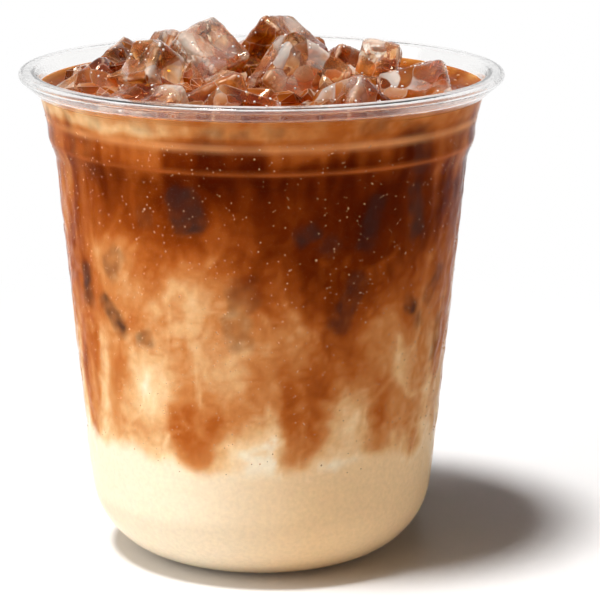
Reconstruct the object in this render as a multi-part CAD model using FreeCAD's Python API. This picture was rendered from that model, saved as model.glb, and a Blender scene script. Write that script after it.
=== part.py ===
"""Iced milk coffee in a clear plastic cup, heaped with ice above the lip.

Millimetres, +Z up. The origin is the middle of the cup's foot, and -Y is the front.
The cup is one thin wall turned about Z. The drink fills it up to its level in three layers:
milk at the bottom, milk swirled with coffee, and coffee cut round the ice. Each piece of ice
that shows above the drink is a solid of its own, let down until it floats or rests on others.
"""
import FreeCAD, Part
import math
import os
import random

from FreeCAD import Rotation, Vector

# The cup, whose sizes are those of its outside
CUP_HEIGHT = 100.0
LIP_RADIUS = 49.0
LIP_WIDTH = 3.5
LIP_EDGE = 1.2              # height of the lip's outer edge
LIP_DROP = 4.4              # from the lip's top down to where its slanted underside ends
LIP_SLIT = 0.4              # between the end of the underside and the wall
LIP_ROUND = 1.0             # of the mouth's inner edge
LIP_EDGE_ROUND = 0.7
WALL = 0.5
NECK_DRAFT = 2.1            # how far the wall draws in from the mouth to the first shoulder
FIRST_SHOULDER_DROP = 8.2   # from the lip's top down to where each stacking shoulder begins
FIRST_SHOULDER_IN = 0.55
SHOULDER_SLOPE = 2.6        # height over which the first shoulder steps in
BAND_DRAFT = 0.15           # how far the band between the shoulders draws in
SECOND_SHOULDER_DROP = 13.3
SECOND_SHOULDER_IN = 1.4
SECOND_SLOPE = 3.7
BODY_DRAFT_DEG = 5.6
FOOT_ROUND = 16.5
SHOULDER_ROUND = 0.9

# The drink
LEVEL_BELOW_LIP = 4.6
MILK_DEPTH = 24.8           # mean depth of each layer's top above the floor inside the cup
SWIRL_DEPTH = 58.0
MILK_WAVE = 2.2             # how far the top of each layer rises and falls
SWIRL_WAVE = 4.0
WAVE_LENGTHS = (53.0, 66.0, 41.0)  # along x, along y and across
CROSS_WAVE = 0.6            # share of the wave across, beside that along x and y
WAVE_START = 1.1            # radians
LAYER_GRID = 14
LAYER_MARGIN = 2.0          # how far the sheets between the layers reach past the lip

# The ice
ICE_EDGE = 14.8             # of the pieces that the heap is built of
CHIP_EDGE = 10.0            # of the smaller ones that settle between them
LONE_EDGE = 8.0             # of the one that floats apart
ICE_SPREAD = 0.13           # share by which an edge may be longer or shorter than the rest
ICE_TAPER = 0.90
ICE_ROUND = 1.5
ICE_LEAN = (28, 52)         # degrees by which a piece leans
HEAP_RISE = 15.0            # how far the middle of the heap stands above the drink
HEAP_FALL = 7.0             # how much lower the heap's outer ring stands
HEAP_UNEVEN = 1.2
HEAP_FORWARD = 3.0          # the heap lies this far in front of the axis
HEAP_ASIDE = 2.5            # and this far to its left
OPEN_DRINK = 6.0            # clear drink between the heap and the wall
PIECE_REACH = 0.6           # how far a leaning piece reaches to each side, in edges
RING_STEP = 14.5            # from one ring of pieces to the next
RING_PITCH = 1.25           # room along a ring for each piece, in edges
RING_UNEVEN = 0.12          # share of the pitch by which a piece may be off its spot
CHIP_TRIES = 26             # spots tried for chips
CHIP_SPREAD = 3.0           # how far past the outer ring chips are tried
CHIP_LOWER = 2.0            # how much lower than large pieces they stand
HEAP_SLACK = 1.8            # a piece left standing further than this above the heap is left out
LONE_RISE = 4.5             # how far the lone piece stands above the drink
SEAT_GAP = 0.12             # left between two pieces that touch, and between a piece and the wall
ICE_SEED = 28

# How a piece is let down and shaken
SHAKES = (3.0, 1.5, 0.8, 0.4)
SHAKE_TRIES = 40
TIP_PER_MM = 6.0
SETTLED = 0.02
GOLDEN_ANGLE = math.pi * (3 - math.sqrt(5))
EDGE_SPOTS = (0, 0.25, 0.5, 0.75, 1)  # along each edge, where room to the wall is tested
FAR = 1e6

LEVEL = CUP_HEIGHT - LEVEL_BELOW_LIP


def offset_point(before, here, after, inset):
    """The corner of a path once each of its straight runs has moved sideways by inset."""
    first = (here - before).normalize()
    second = (after - here).normalize()
    side = Vector(-first.y, first.x, 0) + Vector(-second.y, second.x, 0)
    side.normalize()
    return here + side * (inset / (side.dot(Vector(-first.y, first.x, 0))))


def body_points(inset):
    """Corners of the wall's outline, from the mouth down to the axis, as (radius, height)."""
    mouth = LIP_RADIUS - LIP_WIDTH + WALL
    first_top = CUP_HEIGHT - FIRST_SHOULDER_DROP
    second_top = CUP_HEIGHT - SECOND_SHOULDER_DROP
    body_top = second_top - SECOND_SLOPE
    neck = mouth - NECK_DRAFT
    band = neck - FIRST_SHOULDER_IN
    band_low = band - BAND_DRAFT
    body = band_low - SECOND_SHOULDER_IN
    foot = body - body_top * math.tan(math.radians(BODY_DRAFT_DEG))
    corners = [
        Vector(mouth, CUP_HEIGHT, 0),
        Vector(neck, first_top, 0),
        Vector(band, first_top - SHOULDER_SLOPE, 0),
        Vector(band_low, second_top, 0),
        Vector(body, body_top, 0),
        Vector(foot, 0, 0),
        Vector(0, 0, 0),
    ]
    if not inset:
        return corners
    moved = [Vector(mouth - inset, CUP_HEIGHT, 0)]
    for before, here, after in zip(corners, corners[1:], corners[2:]):
        moved.append(offset_point(before, here, after, -inset))
    moved.append(Vector(0, inset, 0))
    return moved


def upright(point):
    """A (radius, height) point stood up in the XZ plane."""
    return Vector(point.x, 0, point.y)


def rounded_path(points, radii):
    """Edges in the XZ plane along points, with an arc of the given radius at each inner one."""
    edges = []
    start = points[0]
    for before, here, after, radius in zip(points, points[1:], points[2:], radii):
        back = (before - here).normalize()
        on = (after - here).normalize()
        half = math.acos(max(-1.0, min(1.0, back.dot(on)))) / 2
        reach = radius / math.tan(half)
        middle = here + (back + on).normalize() * (radius / math.sin(half) - radius)
        enter = here + back * reach
        leave = here + on * reach
        edges.append(Part.LineSegment(upright(start), upright(enter)).toShape())
        edges.append(Part.Arc(upright(enter), upright(middle), upright(leave)).toShape())
        start = leave
    edges.append(Part.LineSegment(upright(start), upright(points[-1])).toShape())
    return edges


def turned(edges):
    """The solid that a closed outline sweeps about Z."""
    face = Part.Face(Part.Wire(Part.__sortEdges__(edges)))
    solid = face.revolve(Vector(0, 0, 0), Vector(0, 0, 1), 360)
    return Part.makeSolid(solid.Shells[0]) if solid.ShapeType != "Solid" else solid


def filled_body(inset):
    """Everything inside the wall's outline, up to the lip's top."""
    points = body_points(inset)
    radii = [SHOULDER_ROUND] * 4 + [FOOT_ROUND - inset]
    edges = rounded_path(points, radii)
    top = Vector(0, CUP_HEIGHT, 0)
    edges.append(Part.LineSegment(upright(points[-1]), upright(top)).toShape())
    edges.append(Part.LineSegment(upright(top), upright(points[0])).toShape())
    return turned(edges)


def make_cup():
    """The wall with its lip, which turns outwards and slants back down to the wall, as one sheet."""
    mouth, neck = body_points(0)[:2]
    top = CUP_HEIGHT
    low = CUP_HEIGHT - LIP_DROP
    underside = mouth.x - NECK_DRAFT * LIP_DROP / FIRST_SHOULDER_DROP + LIP_SLIT
    over = [
        Vector(underside, low, 0),
        Vector(LIP_RADIUS, top - LIP_EDGE, 0),
        Vector(LIP_RADIUS, top, 0),
        Vector(LIP_RADIUS - LIP_WIDTH, top, 0),
    ]
    along = (over[1] - over[0]).normalize()
    under = [
        mouth - Vector(0, WALL, 0),
        Vector(LIP_RADIUS - WALL, top - WALL, 0),
        offset_point(over[2], over[1], over[0], -WALL),
        over[0] + Vector(-along.y, along.x, 0) * WALL,
    ]
    outside = body_points(0)[:0:-1] + under
    inside = over + body_points(WALL)[1:]
    bends = [LIP_ROUND, LIP_EDGE_ROUND, LIP_EDGE_ROUND]
    shoulders = [SHOULDER_ROUND] * 4
    edges = rounded_path(outside, [FOOT_ROUND] + shoulders + [radius - WALL for radius in bends])
    edges += rounded_path(inside, bends[::-1] + shoulders + [FOOT_ROUND - WALL])
    for end, other in ((outside[-1], inside[0]), (outside[0], inside[-1])):
        edges.append(Part.LineSegment(upright(end), upright(other)).toShape())
    return turned(edges)


def inner_radius(height):
    """Radius of the free space inside the cup at a height, leaving the small roundings out."""
    points = body_points(WALL)
    for upper, lower in zip(points, points[1:]):
        if lower.y <= height <= upper.y:
            share = (height - lower.y) / (upper.y - lower.y)
            return lower.x + share * (upper.x - lower.x)
    return points[0].x


class Lump:
    """One piece of ice: a block that narrows a little, with rounded edges, where it lies."""

    def __init__(self, size, turn):
        self.size = size
        self.place = Vector(0, 0, 0)
        self.core = block_corners([edge - 2 * ICE_ROUND for edge in size])
        self.reach = max(corner.Length for corner in self.core) + ICE_ROUND
        self.set_turn(turn)

    def set_turn(self, turn):
        """Turn the piece about its middle to a known turn."""
        self.turn = turn
        self.corners = [turn.multVec(corner) for corner in self.core]

    def at(self, place):
        """The corners of the sharp core that the roundings go round, with the piece at place."""
        return [corner + place for corner in self.corners]

    def top(self):
        """Height of its highest point above its middle."""
        return max(corner.z for corner in self.corners) + ICE_ROUND

    def solid(self):
        """The piece itself."""
        corners = block_corners(self.size)
        rims = [Part.makePolygon(part + part[:1]) for part in (corners[:4], corners[4:])]
        block = Part.makeLoft(rims, True, True)
        block = block.makeFillet(ICE_ROUND, block.Edges)
        block.Placement = FreeCAD.Placement(self.place, self.turn)
        return block


FACES = ((0, 1, 2, 3), (4, 5, 6, 7), (0, 1, 5, 4), (1, 2, 6, 5), (2, 3, 7, 6), (3, 0, 4, 7))
EDGES = sorted({tuple(sorted(pair)) for face in FACES for pair in zip(face, face[1:] + face[:1])})


def block_corners(size):
    """Corners of a block that narrows upwards: four below, then four above."""
    corners = []
    for side, width in ((-1, 1.0), (1, ICE_TAPER)):
        for x, y in ((-1, -1), (1, -1), (1, 1), (-1, 1)):
            corners.append(Vector(x * width * size[0], y * width * size[1], side * size[2]) * 0.5)
    return corners


def between_runs(a, b, c, d):
    """The shortest vector from the run a-b to the run c-d."""
    u = b - a
    v = d - c
    w = a - c
    uu, uv, vv, uw, vw = u.dot(u), u.dot(v), v.dot(v), u.dot(w), v.dot(w)
    skew = uu * vv - uv * uv
    s = min(max((uv * vw - vv * uw) / skew, 0.0), 1.0) if skew > 1e-9 else 0.0
    t = (uv * s + vw) / vv
    if t < 0 or t > 1:
        t = min(max(t, 0.0), 1.0)
        s = min(max((uv * t - uw) / uu, 0.0), 1.0)
    return (c + v * t) - (a + u * s)


def to_face(point, face):
    """The vector from a point straight to a face, or None where it would miss the face."""
    normal = (face[1] - face[0]).cross(face[3] - face[0]).normalize()
    foot = point - normal * (point - face[0]).dot(normal)
    sides = [(q - p).cross(foot - p).dot(normal) for p, q in zip(face, face[1:] + face[:1])]
    return None if min(sides) < 0 < max(sides) else foot - point


def shortest(first, second):
    """The shortest vector from one block of corners to another that it doesn't touch."""
    ways = [between_runs(first[a], first[b], second[c], second[d]) for a, b in EDGES for c, d in EDGES]
    for points, block, sign in ((first, second, 1), (second, first, -1)):
        for face in FACES:
            corners = [block[i] for i in face]
            found = (to_face(point, corners) for point in points)
            ways += [way * sign for way in found if way is not None]
    return min(ways, key=lambda way: way.Length)


def room_round(lump, place, others):
    """The room between a piece at place and the nearest of the others."""
    room = FAR
    for other in sorted(others, key=lambda other: (other.place - place).Length):
        apart = (other.place - place).Length - lump.reach - other.reach
        if apart < room:
            room = min(room, shortest(lump.at(place), other.at(other.place)).Length - 2 * ICE_ROUND)
    return room


def inside_wall(lump, place):
    """True if a piece at place clears the inside of the cup."""
    corners = lump.at(place)
    for a, b in EDGES:
        for share in EDGE_SPOTS:
            point = corners[a] + (corners[b] - corners[a]) * share
            out = math.hypot(point.x, point.y) + ICE_ROUND + SEAT_GAP
            if point.z - ICE_ROUND < CUP_HEIGHT and out > inner_radius(min(point.z, CUP_HEIGHT)):
                return False
    return True


def sink(lump, floor, others):
    """Lower a piece straight down until it meets another or the wall, or floats at floor."""
    drop = FAR
    while drop > SETTLED:
        drop = min(room_round(lump, lump.place, others) - SEAT_GAP, lump.place.z - floor)
        lower = lump.place - Vector(0, 0, max(drop, 0))
        if not inside_wall(lump, lower):
            break
        lump.place = lower


def seat(lump, x, y, floor, others, chance):
    """Let a piece down over x, y, and shake it less and less so that it settles in a hollow."""
    highest = max([floor] + [other.place.z + other.reach for other in others])
    lump.place = Vector(x, y, highest + lump.reach + SEAT_GAP)
    sink(lump, floor, others)
    for shake in SHAKES:
        for _ in range(SHAKE_TRIES):
            fall = min(abs(chance.gauss(0, shake)), lump.place.z - floor)
            place = lump.place + Vector(chance.gauss(0, shake), chance.gauss(0, shake), -fall)
            turn = lump.turn
            axis = Vector(chance.gauss(0, 1), chance.gauss(0, 1), chance.gauss(0, 1))
            lump.set_turn(Rotation(axis, chance.gauss(0, shake * TIP_PER_MM)) * turn)
            clear = inside_wall(lump, place) and room_round(lump, place, others) >= SEAT_GAP
            if fall > SETTLED and clear:
                lump.place = place
            else:
                lump.set_turn(turn)
        sink(lump, floor, others)


def make_ice():
    """Every piece of ice that shows: rings of large ones, then chips that settle between them."""
    chance = random.Random(ICE_SEED)
    outer = inner_radius(LEVEL) - OPEN_DRINK - ICE_EDGE * PIECE_REACH
    pieces = []

    def add(x, y, edge, rise):
        """Seat one piece over x, y with its top a rise above the drink, unless it stays too high."""
        size = [edge * chance.uniform(1 - ICE_SPREAD, 1 + ICE_SPREAD) for _ in range(3)]
        way = chance.uniform(0, 2 * math.pi)
        lean = Rotation(Vector(math.cos(way), math.sin(way), 0), chance.uniform(*ICE_LEAN))
        lump = Lump(size, lean * Rotation(Vector(0, 0, 1), chance.uniform(0, 90)))
        seat(lump, x, y, LEVEL + rise - lump.top(), pieces, chance)
        if lump.place.z + lump.top() < LEVEL + rise + HEAP_SLACK:
            pieces.append(lump)

    def heap_rise(reach):
        """Height of the heap above the drink at a reach from its middle."""
        return HEAP_RISE - HEAP_FALL * (reach / outer) ** 2 + chance.uniform(-1, 1) * HEAP_UNEVEN

    reach = outer
    while reach > 0:
        count = max(int(2 * math.pi * reach / (ICE_EDGE * RING_PITCH)), 1)
        for i in range(count):
            shift = chance.uniform(-RING_UNEVEN, RING_UNEVEN)
            angle = 2 * math.pi * (i + shift) / count - math.pi / 2
            x, y = reach * math.cos(angle) - HEAP_ASIDE, reach * math.sin(angle) - HEAP_FORWARD
            add(x, y, ICE_EDGE, heap_rise(reach))
        reach -= RING_STEP
    for i in range(CHIP_TRIES):
        spot = (outer + CHIP_SPREAD) * math.sqrt((i + 0.5) / CHIP_TRIES)
        angle = i * GOLDEN_ANGLE
        x, y = spot * math.cos(angle) - HEAP_ASIDE, spot * math.sin(angle) - HEAP_FORWARD
        add(x, y, CHIP_EDGE, heap_rise(spot) - CHIP_LOWER)
    add(inner_radius(LEVEL) - LONE_EDGE, 0, LONE_EDGE, LONE_RISE)
    return pieces


def layer_top(depth, wave):
    """A gently uneven sheet at a depth above the cup's floor, wider than the cup."""
    reach = LIP_RADIUS + LAYER_MARGIN
    along_x, along_y, across = (length / (2 * math.pi) for length in WAVE_LENGTHS)
    surface = Part.BSplineSurface()
    rows = []
    for i in range(LAYER_GRID):
        x = reach * (2 * i / (LAYER_GRID - 1) - 1)
        row = []
        for j in range(LAYER_GRID):
            y = reach * (2 * j / (LAYER_GRID - 1) - 1)
            rise = math.sin(x / along_x + WAVE_START) * math.cos(y / along_y)
            rise += CROSS_WAVE * math.sin((x - y) / across)
            row.append(Vector(x, y, WALL + depth + wave * rise / (1 + CROSS_WAVE)))
        rows.append(row)
    surface.interpolate(rows)
    return surface.toShape()


def make_drink(ice):
    """The three layers, from the bottom up."""
    drink = filled_body(WALL).common(Part.makeCylinder(LIP_RADIUS, LEVEL))
    above_milk = layer_top(MILK_DEPTH, MILK_WAVE).extrude(Vector(0, 0, CUP_HEIGHT))
    above_swirl = layer_top(SWIRL_DEPTH, SWIRL_WAVE).extrude(Vector(0, 0, CUP_HEIGHT))
    milk = drink.cut(above_milk)
    swirl = drink.common(above_milk).cut(above_swirl)
    coffee = drink.common(above_swirl)
    for lump in ice:
        coffee = coffee.cut(lump)
    return milk, swirl, coffee


def main():
    os.makedirs("parts", exist_ok=True)
    ice = [lump.solid() for lump in make_ice()]
    milk, swirl, coffee = make_drink(ice)
    nodes = {"cup": make_cup(), "milk_layer": milk, "swirl_layer": swirl, "coffee_layer": coffee}
    for number, lump in enumerate(ice, 1):
        nodes[f"ice_{number:02d}"] = lump
    for name, shape in nodes.items():
        solids = shape.Solids
        print(name, len(solids), shape.isValid(), round(shape.Volume))
        (solids[0] if len(solids) == 1 else shape).exportStep(f"parts/{name}.step")


main()
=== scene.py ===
"""Looks of an iced milk coffee: its clear cup, its marbled drink and its heap of ice.

Every shape is worked out in millimetres and made in metres, with +Z up and the front at -Y.
An azimuth is in degrees round +Z from the front, and grows to the right, towards +X.
"""

import math

import bmesh
import bpy
import numpy as np
from mathutils import Matrix, Vector
from mathutils.bvhtree import BVHTree


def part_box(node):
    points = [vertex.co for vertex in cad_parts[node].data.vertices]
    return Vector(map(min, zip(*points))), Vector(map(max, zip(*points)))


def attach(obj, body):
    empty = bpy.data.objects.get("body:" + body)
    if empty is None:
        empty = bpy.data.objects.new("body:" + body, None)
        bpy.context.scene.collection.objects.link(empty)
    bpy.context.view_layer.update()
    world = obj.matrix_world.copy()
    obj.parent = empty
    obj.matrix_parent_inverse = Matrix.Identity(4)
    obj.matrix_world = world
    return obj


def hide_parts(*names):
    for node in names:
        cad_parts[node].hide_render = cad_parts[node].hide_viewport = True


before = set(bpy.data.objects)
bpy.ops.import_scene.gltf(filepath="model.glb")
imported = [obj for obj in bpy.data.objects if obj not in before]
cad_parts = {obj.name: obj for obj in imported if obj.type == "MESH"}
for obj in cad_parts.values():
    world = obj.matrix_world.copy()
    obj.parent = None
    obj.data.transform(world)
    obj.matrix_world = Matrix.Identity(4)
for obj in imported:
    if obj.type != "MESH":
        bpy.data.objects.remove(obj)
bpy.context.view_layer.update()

MM = 0.001
SEED = 7

# Sizes that the frame gives
LIP_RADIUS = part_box("cup")[1][0] / MM
CUP_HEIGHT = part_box("cup")[1][2] / MM
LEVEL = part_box("coffee_layer")[1][2] / MM

# The cup's own sizes, as the CAD part has them
LIP_WIDTH = 3.5
LIP_EDGE = 1.2
LIP_DROP = 4.4
LIP_SLIT = 0.4
LIP_ROUND = 1.0
LIP_EDGE_ROUND = 0.7
WALL = 0.5
NECK_DRAFT = 2.1
FIRST_SHOULDER_DROP = 8.2
FIRST_SHOULDER_IN = 0.55
SHOULDER_SLOPE = 2.6
BAND_DRAFT = 0.15
SECOND_SHOULDER_DROP = 13.3
SECOND_SHOULDER_IN = 1.4
SECOND_SLOPE = 3.7
BODY_DRAFT_DEG = 5.6
FOOT_ROUND = 16.5
SHOULDER_ROUND = 0.9

# How finely the turned pieces are divided
CUP_TURNS = 288
DRINK_TURNS = 380
TOP_RINGS = 60
WALL_STEP = 0.62
LIP_STEP = 0.32
INSIDE_STEP = 2.5
FINE_BELOW_LEVEL = 8         # how far below the drink's level the cup's inside is still fine
CURL_DROP = 1.5              # from the lip's top down to where the curl meets the cup's inside

# The ripple of the wall below its shoulders
RIPPLE = 0.38
RIPPLE_SCALE = 5.2
RIPPLE_FROM = 6.0
RIPPLE_FULL = 24.0
RIPPLE_FADE = 3              # height over which it dies out below the shoulders

# The drink's edge, which creeps up the wall and up the ice
MENISCUS = 1.6
MENISCUS_REACH = 1.7
ICE_RISE = 0.7
ICE_RISE_REACH = 0.8
ICE_NEAR = 4                 # farther from the ice than this the drink lies flat

# Drops and bubbles
WALL_DROPS = 2000
WALL_DROP_HEIGHTS = (24, 92)
ICE_DROPS = 20               # on each piece; painted white, they stand for glints
BUBBLES = 70
BUBBLE_SIZE = (0.15, 0.5)


# ---------------------------------------------------------------- noise and colour

def lattice(cells, seed):
    """Three numbers from -1 to 1 for each whole-number cell, always the same for one seed."""
    mixed = cells[..., 0] * 73856093 ^ cells[..., 1] * 19349663 ^ cells[..., 2] * 83492791
    mixed = mixed ^ (seed * 374761393)
    found = []
    for step in (668265263, 2246822519, 3266489917):
        bits = (mixed ^ (mixed >> 15)) * step & 0xFFFFFFFF
        bits = (bits ^ (bits >> 13)) * 1274126177 & 0xFFFFFFFF
        found.append((bits ^ (bits >> 16)) / 0x7FFFFFFF - 1.0)
    return np.stack(found, -1)


def noise(points, scale, seed):
    """Smooth noise of about -1 to 1 at points, with lumps as wide as scale."""
    points = np.asarray(points, float) / scale + 0.37
    base = np.floor(points).astype(np.int64)
    part = points - base
    climb = part ** 3 * (part * (part * 6 - 15) + 10)
    total = np.zeros(len(points))
    for dx in (0, 1):
        for dy in (0, 1):
            for dz in (0, 1):
                corner = np.array([dx, dy, dz])
                slope = lattice(base + corner, seed)
                weight = np.prod(np.where(corner, climb, 1 - climb), axis=1)
                total += weight * np.sum(slope * (part - corner), axis=1)
    return total * 1.6


def layered(points, scale, seed, octaves=4, gain=0.5):
    """Noise with finer and finer noise on top."""
    total = 0.0
    size = 1.0
    for octave in range(octaves):
        total = total + size * noise(points, scale / 2 ** octave, seed + octave)
        size *= gain
    return total


def warp(points, scale, reach, seed):
    """Points pushed about by noise, so that what is drawn on them swirls."""
    shift = [noise(points, scale, seed + i) for i in range(3)]
    return points + reach * np.stack(shift, -1)


def ease(low, high, value):
    """0 below low, 1 above high, and a smooth climb between. The two may be the other way round."""
    share = np.clip((value - low) / (high - low), 0, 1)
    return share * share * (3 - 2 * share)


def tone(red, green, blue):
    """A colour as it looks on screen, 0 to 255, as the light that it stands for."""
    shown = np.array([red, green, blue]) / 255
    return np.where(shown <= 0.04045, shown / 12.92, ((shown + 0.055) / 1.055) ** 2.4)


def blend(first, second, share):
    """Each row's mix of two colours."""
    share = np.asarray(share)[..., None]
    return first * (1 - share) + second * share


# ---------------------------------------------------------------- outlines

def rounded(corners, radii, step=0.1):
    """Points along straight runs with an arc at each inner corner, as rows of (radius, height)."""
    corners = np.asarray(corners, float)
    path = [corners[0]]
    for before, here, after, radius in zip(corners, corners[1:], corners[2:], radii):
        back = (before - here) / np.linalg.norm(before - here)
        on = (after - here) / np.linalg.norm(after - here)
        half = math.acos(np.clip(back @ on, -1, 1)) / 2
        reach = radius / math.tan(half)
        middle = here + (back + on) / np.linalg.norm(back + on) * (radius / math.sin(half))
        start = here + back * reach - middle
        turn = math.pi - 2 * half
        if back[0] * on[1] - back[1] * on[0] > 0:
            turn = -turn
        for share in np.linspace(0, 1, max(int(abs(turn) * radius / step), 3)):
            angle = turn * share
            cos, sin = math.cos(angle), math.sin(angle)
            path.append(middle + [start[0] * cos - start[1] * sin, start[0] * sin + start[1] * cos])
    path.append(corners[-1])
    return np.array(path)


def spaced(path, step):
    """The same line with points a step apart."""
    runs = np.linalg.norm(np.diff(path, axis=0), axis=1)
    along = np.concatenate([[0], np.cumsum(runs)])
    marks = np.linspace(0, along[-1], max(int(along[-1] / step), 2) + 1)
    return np.stack([np.interp(marks, along, path[:, i]) for i in (0, 1)], -1)


def sideways(path):
    """The unit vector at each point that faces out of a path that climbs from the axis."""
    ahead = np.gradient(path, axis=0)
    ahead /= np.linalg.norm(ahead, axis=1)[:, None]
    return np.stack([ahead[:, 1], -ahead[:, 0]], -1)


def wall_corners():
    """Corners of the wall's outside from the axis up to the mouth."""
    mouth = LIP_RADIUS - LIP_WIDTH + WALL
    first_top = CUP_HEIGHT - FIRST_SHOULDER_DROP
    second_top = CUP_HEIGHT - SECOND_SHOULDER_DROP
    body_top = second_top - SECOND_SLOPE
    neck = mouth - NECK_DRAFT
    band = neck - FIRST_SHOULDER_IN
    band_low = band - BAND_DRAFT
    body = band_low - SECOND_SHOULDER_IN
    foot = body - body_top * math.tan(math.radians(BODY_DRAFT_DEG))
    return [
        (0, 0),
        (foot, 0),
        (body, body_top),
        (band_low, second_top),
        (band, first_top - SHOULDER_SLOPE),
        (neck, first_top),
        (mouth, CUP_HEIGHT - WALL),
    ]


OUTSIDE = rounded(wall_corners(), [FOOT_ROUND] + [SHOULDER_ROUND] * 4)


def wall_radius(height, depth=0.0):
    """Radius of the wall at a height, measured a depth inside its outer face."""
    path = OUTSIDE - sideways(OUTSIDE) * depth
    keep = path[:, 1] > 0.3
    return np.interp(height, path[keep, 1], path[keep, 0])


# ---------------------------------------------------------------- meshes

def mesh_object(name, points, faces, body="root"):
    """A smooth piece made from points in millimetres, which rides on a body."""
    mesh = bpy.data.meshes.new(name)
    mesh.from_pydata((np.asarray(points) * MM).tolist(), [], [tuple(face) for face in faces])
    mesh.validate()
    mesh.shade_smooth()
    piece = bpy.data.objects.new(name, mesh)
    bpy.context.collection.objects.link(piece)
    if body:
        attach(piece, body)
    return piece


def lathe_faces(rings, turns):
    """Quads between rings of points, with a single point at each end of the outline."""
    faces = []
    last = 1 + rings * turns
    for k in range(turns):
        after = (k + 1) % turns
        faces.append((0, 1 + after, 1 + k))
        for ring in range(rings - 1):
            low = 1 + ring * turns
            high = low + turns
            faces.append((low + k, low + after, high + after, high + k))
        top = 1 + (rings - 1) * turns
        faces.append((top + k, top + after, last))
    return faces


def lathe_points(path, turns, push=None):
    """Points of an outline turned about Z, each moved out by push(points) where that is given."""
    angles = np.arange(turns) / turns * 2 * math.pi - math.pi / 2
    cos, sin = np.cos(angles), np.sin(angles)
    inner = path[1:-1]
    radius = np.repeat(inner[:, 0], turns)
    height = np.repeat(inner[:, 1], turns)
    cos, sin = np.tile(cos, len(inner)), np.tile(sin, len(inner))
    points = np.stack([radius * cos, radius * sin, height], -1)
    if push is not None:
        out = sideways(path)[1:-1]
        amount = push(points)
        radius = radius + np.repeat(out[:, 0], turns) * amount
        height = height + np.repeat(out[:, 1], turns) * amount
        points = np.stack([radius * cos, radius * sin, height], -1)
    ends = [[0, 0, path[0, 1]], [0, 0, path[-1, 1]]]
    return np.concatenate([ends[:1], points, ends[1:]])


def paint(piece, name, colours):
    """Give a piece's points a colour each."""
    layer = piece.data.color_attributes.new(name, "FLOAT_COLOR", "POINT")
    rgba = np.ones((len(colours), 4), np.float32)
    rgba[:, :3] = np.clip(colours, 0, 1)
    layer.data.foreach_set("color", rgba.ravel())


def set_shade(piece, material):
    """Give a piece one material."""
    piece.data.materials.clear()
    piece.data.materials.append(material)


# ---------------------------------------------------------------- materials

# Colours of the ice's facets, from those full of coffee to clean ones
ICE_RAMP = [
    (0.00, tone(92, 30, 0)),
    (0.20, tone(136, 58, 0)),
    (0.40, tone(184, 94, 6)),
    (0.58, tone(204, 122, 44)),
    (0.74, tone(222, 164, 108)),
    (0.88, tone(240, 206, 172)),
    (1.00, tone(255, 250, 240)),
]
FACETS_PER_METRE = 200
FACET_SWAY = 0.004           # metres by which the facets' edges stray
SWAY_PER_METRE = 160
FACET_UNEVEN = 1.5           # the more, the fewer facets are clean
FACET_CONTRAST = 0.66
# how much paler each facet is painted towards its edges: a painted shading that makes it look
# glassy
FACET_PAINTED_SHADING = 0.35
FACET_TILT = 1.1
# The painted highlight along each facet's edge: its colour, where it begins and is full, and how
# much it covers
PAINTED_EDGE_HIGHLIGHT = tone(236, 204, 178)
PAINTED_HIGHLIGHT_BEGINS = 0.026
PAINTED_HIGHLIGHT_FULL = 0.008
PAINTED_HIGHLIGHT_COVER = 0.85

GRAINS_PER_METRE = 900       # of the fine relief on plastic and water
SPECKS_PER_METRE = 1100      # of the drink's fine mottling
SPECK_RANGE = (0.88, 1.12)


def new_material(name):
    """A material, with its nodes, their links and its main shader."""
    material = bpy.data.materials.new(name)
    material.use_nodes = True
    nodes = material.node_tree.nodes
    return material, nodes, material.node_tree.links, nodes["Principled BSDF"]


def set_inputs(node, values):
    """Set a node's inputs, given as a dictionary by name."""
    for name, value in values.items():
        node.inputs[name].default_value = value


def reckoned(tree, operation, *sources, kind="ShaderNodeMath", output="Value"):
    """The outcome of an operation on sources, each a number, a vector or another node's socket."""
    node = tree.nodes.new(kind)
    node.operation = operation
    for entry, source in zip(node.inputs, sources):
        if isinstance(source, bpy.types.NodeSocket):
            tree.links.new(source, entry)
        else:
            entry.default_value = source
    return node.outputs[output]


def reckoned_vector(tree, operation, *sources, output="Vector"):
    """The same for an operation on vectors."""
    return reckoned(tree, operation, *sources, kind="ShaderNodeVectorMath", output=output)


def noise_node(tree, per_metre, detail):
    """Noise in object space, with its lumps counted per metre."""
    place = tree.nodes.new("ShaderNodeTexCoord")
    grain = tree.nodes.new("ShaderNodeTexNoise")
    set_inputs(grain, {"Scale": per_metre, "Detail": detail})
    tree.links.new(place.outputs["Object"], grain.inputs["Vector"])
    return grain


def stain_and_painted_light_colour(nodes):
    """The colour that paint() gave to a piece's points."""
    # Besides the drink's and ice's own colours, this carries painted shade and painted highlights.
    stain_and_painted_light = nodes.new("ShaderNodeAttribute")
    stain_and_painted_light.attribute_name = "stain_and_painted_light"
    return stain_and_painted_light.outputs["Color"]


def mixed_shader(tree, share, first, second, output):
    """Show the first shader where share is 0 and the second where it is 1."""
    mix = tree.nodes.new("ShaderNodeMixShader")
    tree.links.new(share, mix.inputs[0])
    tree.links.new(first.outputs[0], mix.inputs[1])
    tree.links.new(second.outputs[0], mix.inputs[2])
    tree.links.new(mix.outputs[0], tree.nodes[output].inputs["Surface"])


def let_lamps_through(material, colour=(1, 1, 1, 1)):
    """Let lamps reach what is behind a clear material, as they would in air."""
    tree = material.node_tree
    path = tree.nodes.new("ShaderNodeLightPath")
    clear = tree.nodes.new("ShaderNodeBsdfTransparent")
    clear.inputs["Color"].default_value = colour
    share = path.outputs["Is Shadow Ray"]
    mixed_shader(tree, share, tree.nodes["Principled BSDF"], clear, "Material Output")


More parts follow.
